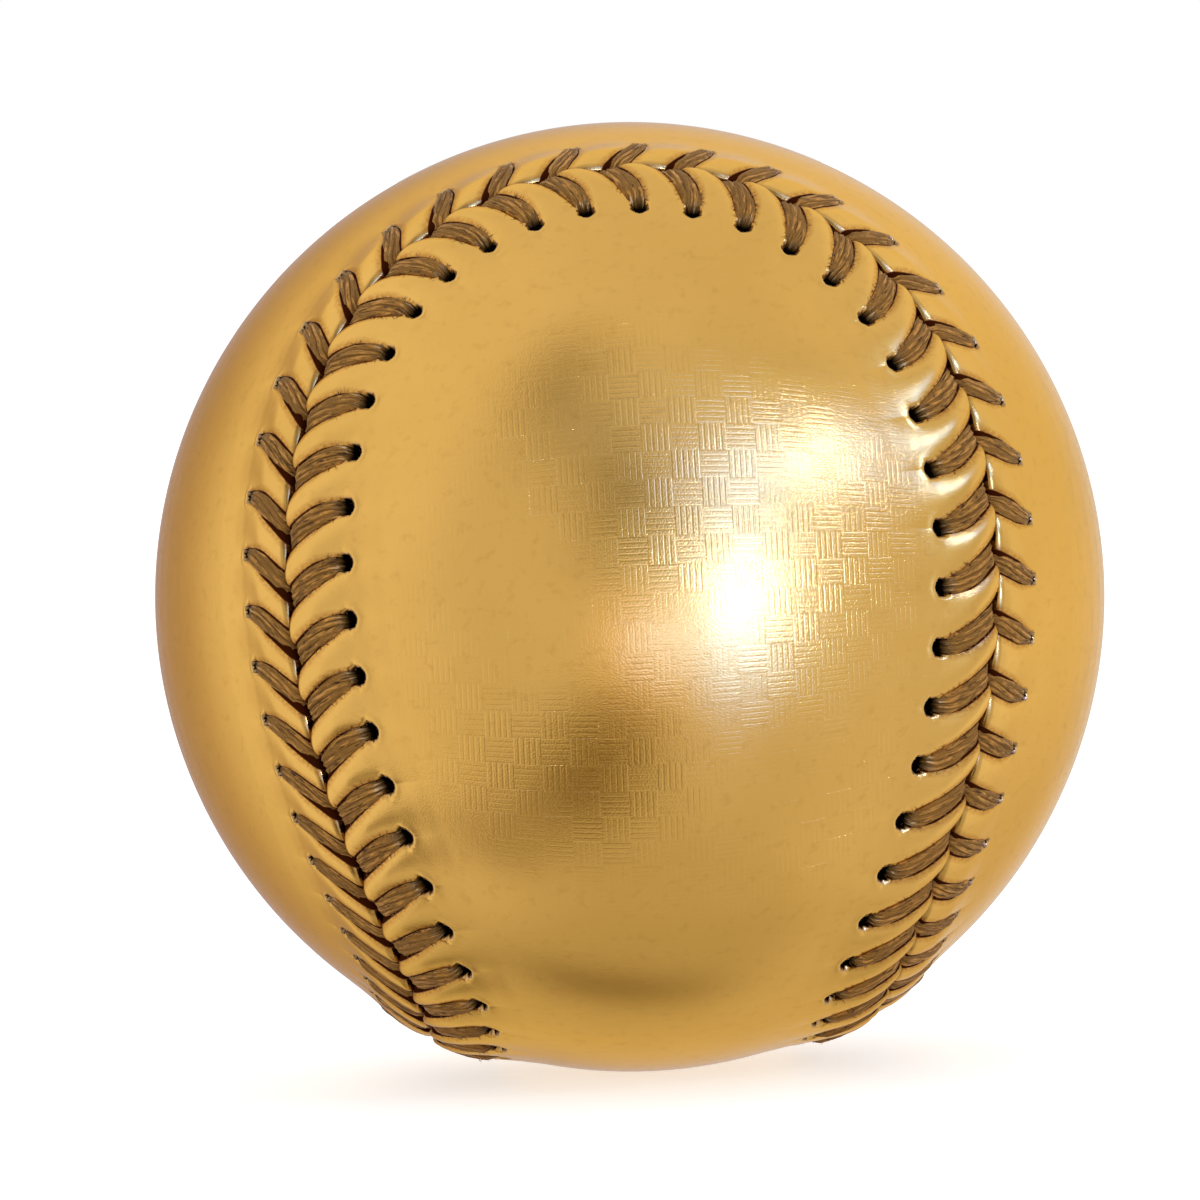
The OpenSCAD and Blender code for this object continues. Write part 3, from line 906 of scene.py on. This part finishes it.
# The room: white all round, dimmer behind the camera, with the soft dark shapes that the foil shows, and the
# pale glow of the soft boxes. Reaches are in degrees, and shades are red, green and blue strengths.
room = {
    "sides": (1.0, 1.0, 1.0),
    # direction, reaches where it is full and where it ends, shade
    "zones": [((0.31, 0, 0.95), (60, 80), (0.76, 0.76, 0.76)),
              ((0, 0, -1), (15, 55), (1.0, 1.0, 1.0)),
              ((-0.42, -0.05, -0.9), (10, 42), (0.56, 0.5, 0.56))],
    # direction, reach across and up, turn, shade
    "cards": [((0.05, 1, 0.05), (60, 50), 0, (0.85, 0.85, 0.85)),
              ((0.05, -0.97, -0.15), (88, 85), 0, (0.62, 0.6, 0.54)),
              ((0.5, -0.5, -0.7), (45, 40), 0, (0.82, 0.8, 0.84)),
              ((-0.258, 0.746, 0.614), (14, 26), 0, (0.42, 0.41, 0.4)),
              ((-0.019, 0.428, 0.904), (15, 32), 0, (0.3, 0.3, 0.3)),
              ((-0.13, -0.66, 0.74), (20, 34), -31, (0.2, 0.155, 0.1)),
              ((-0.44, -0.8, 0.42), (20, 17), 0, (0.38, 0.34, 0.28)),
              ((-0.06, -0.945, -0.31), (26, 7), 0, (0.2, 0.16, 0.1))],
    # direction, reach across and up, turn, added glow
    "glows": [((0.45, 0.03, 0.892), (10, 40), 0, (0.5, 1.5, 9.0)),
              ((0.46, 0.027, 0.888), (21, 28), 0, (0.1, 0.6, 2.9)),
              ((0.46, 0.027, 0.888), (37, 32), 0, (0.28, 0.5, 1.05)),
              ((0.637, 0.506, 0.582), (40, 7.0), 0, (0.6, 1.9, 12.0)),
              ((0.65, 0.5, 0.572), (28, 10), 0, (0.1, 0.25, 0.8)),
              ((0.664, 0.505, 0.551), (32, 22), 0, (0.15, 0.35, 0.7)),
              ((0.232, 0.7, 0.674), (40, 22), 0, (0.05, 0.12, 0.35)),
              ((0.11, -0.181, 0.977), (7, 7), 0, (0.5, 1.5, 8.0)),
              ((0.11, -0.181, 0.977), (13, 13), 0, (0.25, 0.25, 0.3)),
              ((0.09, -0.18, 0.98), (22, 22), 0, (0.24, 0.14, 0.06))],
    "fullShare": 0.2,       # share of a card's or glow's reach within which it is full
}


def zone(tree, sky, direction, near, far):
    # 1 inside the first angle about a direction, fading to 0 at the second
    dot = addNode(tree, "ShaderNodeVectorMath", {0: sky, 1: wayTo(direction)}, operation="DOT_PRODUCT")
    start, end = (math.cos(math.radians(angle)) for angle in (far, near))
    return addNode(tree, "ShaderNodeMapRange", {
        "Value": dot.outputs["Value"], "From Min": start, "From Max": end},
        interpolation_type="SMOOTHSTEP").outputs["Result"]


def card(tree, sky, direction, across, high, turn):
    # A soft oval, 1 in its middle, fading to 0 at the two reaches
    way = wayTo(direction)
    sideways = Quaternion(way, math.radians(turn)) @ Vector(up).cross(way).normalized()
    parts = {}
    for word, axis, reach in (("X", sideways, across), ("Y", way.cross(sideways), high)):
        dot = addNode(tree, "ShaderNodeVectorMath", {
            0: sky, 1: axis / math.sin(math.radians(reach))}, operation="DOT_PRODUCT")
        parts[word] = dot.outputs["Value"]
    flat = addNode(tree, "ShaderNodeCombineXYZ", parts).outputs["Vector"]
    out = addNode(tree, "ShaderNodeVectorMath", {0: flat}, operation="LENGTH").outputs["Value"]
    oval = addNode(tree, "ShaderNodeMapRange", {
        "Value": out, "From Min": 1.0, "From Max": room["fullShare"]}, interpolation_type="SMOOTHSTEP")
    # The same oval on the far side of the room is left out
    facing = addNode(tree, "ShaderNodeVectorMath", {0: sky, 1: way}, operation="DOT_PRODUCT").outputs["Value"]
    near = addNode(tree, "ShaderNodeMath", {0: facing, 1: 0.0}, operation="GREATER_THAN").outputs[0]
    return addNode(tree, "ShaderNodeMath", {
        0: oval.outputs["Result"], 1: near}, operation="MULTIPLY").outputs[0]


world = bpy.data.worlds.new("paleRoom")
bpy.context.scene.world = world
world.use_nodes = True
tree = world.node_tree
sky = addNode(tree, "ShaderNodeTexCoord").outputs["Generated"]
path = addNode(tree, "ShaderNodeLightPath").outputs
insides = []
for direction, angles, shade in room["zones"]:
    insides.append((zone(tree, sky, direction, *angles), shade))
for direction, reach, turn, shade in room["cards"]:
    insides.append((card(tree, sky, direction, *reach, turn), shade))
light = room["sides"] + (1,)
for inside, shade in insides:
    light = addNode(tree, "ShaderNodeMix", {
        "Factor": inside, "A": light, "B": shade + (1,)}, data_type="RGBA").outputs[2]
for direction, reach, turn, shade in room["glows"]:
    # Only the foil and the wax show the boxes' glow, so that the light on the ball stays neutral
    inside = card(tree, sky, direction, *reach, turn)
    inside = addNode(tree, "ShaderNodeMath", {0: inside, 1: path["Is Glossy Ray"]}, operation="MULTIPLY")
    light = addNode(tree, "ShaderNodeVectorMath", {
        0: inside.outputs[0], 1: shade, 2: light}, operation="MULTIPLY_ADD").outputs["Vector"]
seen = addNode(tree, "ShaderNodeMath", {
    0: path["Is Camera Ray"], 1: path["Is Transmission Ray"]}, operation="MAXIMUM")
light = addNode(tree, "ShaderNodeMix", {
    "Factor": seen.outputs[0], "A": light, "B": (1, 1, 1, 1)}, data_type="RGBA").outputs[2]
tree.links.new(light, tree.nodes["Background"].inputs["Color"])
print("lit the room with", len(insides), "shapes and", len(room["glows"]), "glows")

floorLook = {
    "size": 60,             # metres, from the middle to a side
    "colour": "E8E8E8",
    "roughness": 0.9,
    "glow": 0.55,           # lifts it to white in the camera's eye, and leaves the ball's shadow on it
}
floorMesh = bpy.data.meshes.new("floor")
bm = bmesh.new()
bmesh.ops.create_grid(bm, x_segments=1, y_segments=1, size=floorLook["size"])
bmesh.ops.translate(bm, verts=bm.verts, vec=(0, 0, -seam["radius"] * mm))
bm.to_mesh(floorMesh)
bm.free()
floor = bpy.data.objects.new("floor", floorMesh)
bpy.context.scene.collection.objects.link(floor)
pale, tree, shader = newMaterial("paleFloor")
shader.inputs["Base Color"].default_value = linear(floorLook["colour"])
shader.inputs["Roughness"].default_value = floorLook["roughness"]
path = addNode(tree, "ShaderNodeLightPath").outputs
glow = addNode(tree, "ShaderNodeMath", {0: path["Is Camera Ray"], 1: floorLook["glow"]}, operation="MULTIPLY")
shader.inputs["Emission Color"].default_value = (1, 1, 1, 1)
tree.links.new(glow.outputs[0], shader.inputs["Emission Strength"])
# The foil shows the pale room below as it does above, so the floor is clear to its reflections
clear = addNode(tree, "ShaderNodeBsdfTransparent")
away = addNode(tree, "ShaderNodeMath", {
    0: path["Is Glossy Ray"], 1: path["Is Shadow Ray"]}, operation="MAXIMUM")
both = addNode(tree, "ShaderNodeMixShader", {0: away.outputs[0], 1: shader.outputs[0], 2: clear.outputs[0]})
tree.links.new(both.outputs[0], tree.nodes["Material Output"].inputs["Surface"])
floorMesh.materials.append(pale)
print("laid the floor")

bpy.context.scene.view_settings.view_transform = "Standard"
